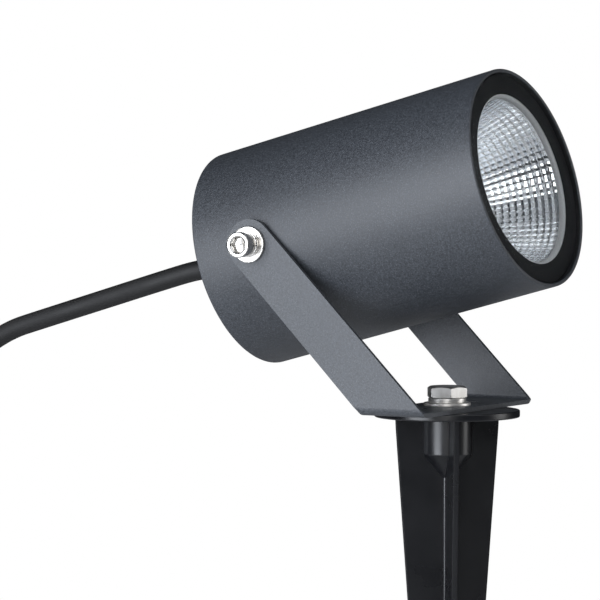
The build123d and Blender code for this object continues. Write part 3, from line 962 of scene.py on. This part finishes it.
def cap_screw(name, place, reach):
    """Socket cap screw with its head on +X, the underside of the head at X 0."""
    shank, cap_radius, cap_height = 2.5, 4.35, 5.0
    socket = hexagonal(4.8)
    socket_floor = 2.0
    mouth = 3.05
    outline = [
        (-reach, 0.01),
        (-reach, shank - 0.4),
        (-reach + 0.4, shank),
        (0.0, shank),
        (0.0, cap_radius - 0.15),
        (0.15, cap_radius),
        (cap_height - 0.45, cap_radius),
        (cap_height - 0.28, cap_radius - 0.05),
        (cap_height - 0.12, cap_radius - 0.17),
        (cap_height - 0.03, cap_radius - 0.37),
        (cap_height, cap_radius - 0.6),
        (cap_height, mouth + 0.12),
        (cap_height - 0.04, mouth),
        (lambda angle: cap_height - (mouth - socket(angle)), lambda angle: socket(angle) + 0.06),
        (lambda angle: cap_height - 0.14 - (mouth - socket(angle)), socket),
        (socket_floor, socket),
        (socket_floor, 2.2),
        (socket_floor - 0.9, 0.01),
    ]
    return turned(name, outline, place, 96)


arm_outer = 39.8
pivot_bore = 2.65
flat_height = 1.2
spring_height = 1.6
screw_reach = 14.6
screws, flats, springs = [], [], []
for side in (-1, 1):
    out = (0, side, 0)
    flat_place = head @ facing((0, side * arm_outer, 0), out)
    spring_place = head @ facing((0, side * (arm_outer + flat_height), 0), out)
    screw_place = head @ facing((0, side * (arm_outer + flat_height + spring_height), 0), out)
    if side < 0:
        # The near side's split and socket stand as in the photo.
        spring_place = spring_place @ Matrix.Rotation(radians(200), 4, "X")
        screw_place = screw_place @ Matrix.Rotation(radians(11), 4, "X")
    flats.append(flat_washer("flat", flat_place, pivot_bore, 6.2, flat_height))
    springs.append(helical_washer("spring", spring_place, pivot_bore, 4.5, spring_height, 0.9, 0.12))
    screws.append(cap_screw("screw", screw_place, screw_reach))
placed(joined("pivot_cap_screws", *screws), screw_steel, "head", "stainless", "pivot_screws")
placed(joined("pivot_flats", *flats), screw_steel, "head", "stainless", "pivot_flat_washers")
placed(joined("pivot_springs", *springs), screw_steel, "head", "stainless", "pivot_spring_washers")

# swivel bolt with its washers
sheet = 1.5
base_bottom = 2.4
base_top = base_bottom + sheet
upward = Matrix(((0, 1, 0, 0), (0, 0, 1, 0), (1, 0, 0, 0), (0, 0, 0, 1)))
swivel_flat_height = 1.0
swivel_spring_height = 1.5
bolt_under = base_top + swivel_flat_height + swivel_spring_height
bolt_top = bolt_under + 4.0
bolt_shank = 4.0
bolt_hex = hexagonal(12.2)
bolt_turn = Matrix.Rotation(radians(39), 4, "Z")


def crowned(drop):
    """Height of the hexagon's upper edge, cut by the chamfer's cone."""
    def height(angle):
        return bolt_top - drop - max(0.0, bolt_hex(angle) - 5.8) * 0.5
    return height


def undercut(rise):
    """Height of the hexagon's lower edge, cut by a flatter cone."""
    def height(angle):
        return bolt_under + rise + max(0.0, bolt_hex(angle) - 6.5) * 0.35
    return height


def within_hexagon(angle):
    return bolt_hex(angle) - 0.1


bolt_outline = [
    (-9.0, 0.01),
    (-9.0, bolt_shank - 0.7),
    (-8.3, bolt_shank),
    (bolt_under, bolt_shank),
    (bolt_under, 5.7),
    (undercut(0.1), within_hexagon),
    (undercut(0.25), bolt_hex),
    (crowned(0.15), bolt_hex),
    (crowned(0.02), within_hexagon),
    (bolt_top - 0.03, 5.85),
    (bolt_top, 5.6),
    (bolt_top, 0.01),
]
bolt = turned("swivel_hex_bolt", bolt_outline, bolt_turn @ upward, 96)
placed(bolt, bolt_steel, "stake", "stainless", "swivel_bolt", smooth=24.0)
washer_bore = 4.15
washer = flat_washer(
    "swivel_flat", facing((0, 0, base_top), (0, 0, 1)), washer_bore, 8.0, swivel_flat_height
)
placed(washer, bolt_steel, "stake", "stainless", "swivel_flat_washer")
spring_turn = Matrix.Rotation(radians(-8), 4, "Z")
spring = helical_washer(
    "swivel_spring",
    spring_turn @ facing((0, 0, base_top + swivel_flat_height), (0, 0, 1)),
    inner=washer_bore,
    outer=6.4,
    thickness=swivel_spring_height,
    gap=1.4,
    lift=0.12,
)
placed(spring, bolt_steel, "stake", "stainless", "swivel_spring_washer")


# ------------------------------------------------------------------ bracket
arm_width = 17.0
arm_inner = arm_outer - sheet
bend_inside = 1.5
bend_outside = bend_inside + sheet
upright = Matrix(((1, 0, 0, 0), (0, 0, -1, 0), (0, 1, 0, 0), (0, 0, 0, 1)))
pivot_x, pivot_height = pivot.x / MM, pivot.z / MM
slant = -Vector((-pivot_x, pivot_height - base_bottom - sheet / 2)).angle_signed(Vector((0, 1)))
slant = abs(slant)
base_half = arm_width / 2 / cos(slant)


def channel(name, reach):
    """U section of the bent sheet, run along X."""
    top = pivot_height + arm_width
    outer = []
    inner = []
    steps = 8
    outer.append((arm_outer, top))
    inner.append((arm_inner, top))
    for side in (1, -1):
        for step in range(steps + 1):
            turn = pi / 2 * step / steps if side > 0 else pi / 2 * (1 - step / steps)
            for line, radius in ((outer, bend_outside), (inner, bend_inside)):
                middle = (side * (arm_outer - bend_outside), base_bottom + bend_outside)
                line.append(
                    (middle[0] + side * radius * cos(turn), middle[1] - radius * sin(turn))
                )
    outer.append((-arm_outer, top))
    inner.append((-arm_inner, top))
    outline = outer + inner[::-1]
    place = Matrix(((0, 0, 1, 0), (1, 0, 0, 0), (0, 1, 0, 0), (0, 0, 0, 1)))
    return prism(name, outline, 2 * reach, place)


def arm_blank():
    """Side view of the bracket before bending: a slanted strap with a round crown."""
    along = Vector((-sin(slant), cos(slant)))
    across = Vector((cos(slant), sin(slant)))
    centre = Vector((pivot_x, pivot_height))
    outline = [
        (-base_half - sheet / 2 * tan(slant), base_top),
        (-base_half, base_bottom),
        (-base_half, base_bottom - 1),
        (base_half, base_bottom - 1),
        (base_half, base_top),
    ]
    crown_steps = 32
    for step in range(crown_steps + 1):
        turn = pi * step / crown_steps
        spot = centre + (across * cos(turn) + along * sin(turn)) * arm_width / 2
        outline.append((spot.x, spot.y))
    return prism("blank", outline, 4 * arm_outer, upright)


bracket = combined(channel("bracket_strap", abs(pivot_x) + arm_width), arm_blank(), "INTERSECT")
drill_start, drill_end = base_bottom - 1, base_top + 1
for y, radius in ((0, 4.1), (-18, 2.1), (18, 2.1)):
    drill = turned(
        "drill",
        [(drill_start, 0.0), (drill_start, radius), (drill_end, radius), (drill_end, 0.0)],
        Matrix.Translation(Vector((0, y, 0)) * MM) @ upward,
        48,
        closed=False,
    )
    combined(bracket, drill, "DIFFERENCE")
bracket = eased(bracket, 0.28, 2, 30.0)
placed(bracket, arm_paint_lightened, "bracket", "bracket_powder_coat", "bracket", smooth=30.0)


# ------------------------------------------------------------------ ground stake
blade_turn = radians(38.6)
blade_thickness = 2.0
flange_radius = 24.55
flange_outline = [
    (0.0, 0.01),
    (0.0, flange_radius),
    (base_bottom, flange_radius),
    (base_bottom, 0.01),
]
flange = turned("flange", softened(flange_outline, 0.5, 4), upward, 160)
boss = turned(
    "boss",
    [
        (0.5, 0.01),
        (0.5, 9.3),
        (-0.1, 8.95),
        (-0.6, 8.65),
        (-1.2, 8.5),
        (-12.3, 8.42),
        (-12.8, 8.3),
        (-20.2, 2.3),
        (-20.6, 2.0),
        (-20.6, 0.01),
    ],
    upward,
    96,
)
core_bar = turned(
    "core_bar",
    [(-18.0, 0.01), (-18.0, 1.9), (-120.0, 1.6), (-192.0, 0.7), (-193.0, 0.01)],
    upward,
    24,
)
blades = []
half_outline = [(17.7, 0.5), (17.5, -4.0), (6.1, -165.0), (1.0, -199.2), (0.5, -200.0)]
outline = half_outline + [(-x, z) for x, z in reversed(half_outline)]
for turn in (blade_turn, blade_turn + pi / 2):
    place = Matrix.Rotation(turn, 4, "Z") @ upright
    blades.append(eased(prism("blade", outline, blade_thickness, place), 0.28, 2))
stake = joined("ground_stake", flange, boss, core_bar, *blades)
placed(stake, stake_plastic, "stake", "stake_plastic", "stake", smooth=36.0)


# ------------------------------------------------------------------ stage and light
floor_look = Look("floor", (0.82, 0.82, 0.82), 0.6)
mottle = floor_look.noise(18.0, 3.0)
patches = floor_look.ranged(mottle, 0.0, 1.0, 0.3, 0.7)
floor_look.feed(
    "Base Color", floor_look.blended(patches, (0.80, 0.80, 0.80), (0.85, 0.85, 0.85))
)
floor_radius = 0.95
floor_sides = 128
floor_middle = Vector((-0.06, 0.0, cad_low.z - 0.0005))
floor_points = []
for number in range(floor_sides):
    angle = 2 * pi * number / floor_sides
    floor_points.append(floor_middle + Vector((cos(angle), sin(angle), 0.0)) * floor_radius)
floor = made("floor", floor_points, [tuple(range(floor_sides))])
floor.data.materials.append(floor_look.material)


def softbox(name, spot, width, height, power, tint=(1.0, 1.0, 1.0), aim=(-0.01, 0.0, 0.04)):
    """Rectangular area light at a spot, turned to face the lamp."""
    light = bpy.data.lights.new(name, "AREA")
    light.shape = "RECTANGLE"
    light.size = width
    light.size_y = height
    light.energy = power
    light.color = tint
    carrier = bpy.data.objects.new(name, light)
    carrier.location = spot
    carrier.rotation_euler = (Vector(aim) - Vector(spot)).to_track_quat("-Z", "Y").to_euler()
    carrier.visible_camera = False
    scene.collection.objects.link(carrier)


softbox("key", (-0.44, -1.42, 0.22), 0.85, 1.25, 35.5, (0.94, 0.98, 1.05))
softbox("front_top", (0.85, -0.30, 1.05), 1.5, 1.3, 8.5, (0.95, 0.98, 1.03))
softbox("beside_camera", (0.62, -1.36, 0.26), 0.55, 0.7, 4.6)
softbox("far_right", (1.12, 0.68, 0.20), 0.50, 0.8, 5.0)
softbox("side", (-1.45, -0.05, 0.55), 0.4, 0.8, 2.0)

world = bpy.data.worlds.new("studio")
scene.world = world
world.use_nodes = True
air = world.node_tree
background = air.nodes["Background"]
background.inputs["Color"].default_value = (0.020, 0.022, 0.025, 1.0)
seen = air.nodes.new("ShaderNodeBackground")
seen.inputs["Color"].default_value = (1.0, 1.0, 1.0, 1.0)
ray = air.nodes.new("ShaderNodeLightPath")
mix = air.nodes.new("ShaderNodeMixShader")
air.links.new(ray.outputs["Is Camera Ray"], mix.inputs["Fac"])
air.links.new(background.outputs["Background"], mix.inputs[1])
air.links.new(seen.outputs["Background"], mix.inputs[2])
air.links.new(mix.outputs["Shader"], air.nodes["World Output"].inputs["Surface"])
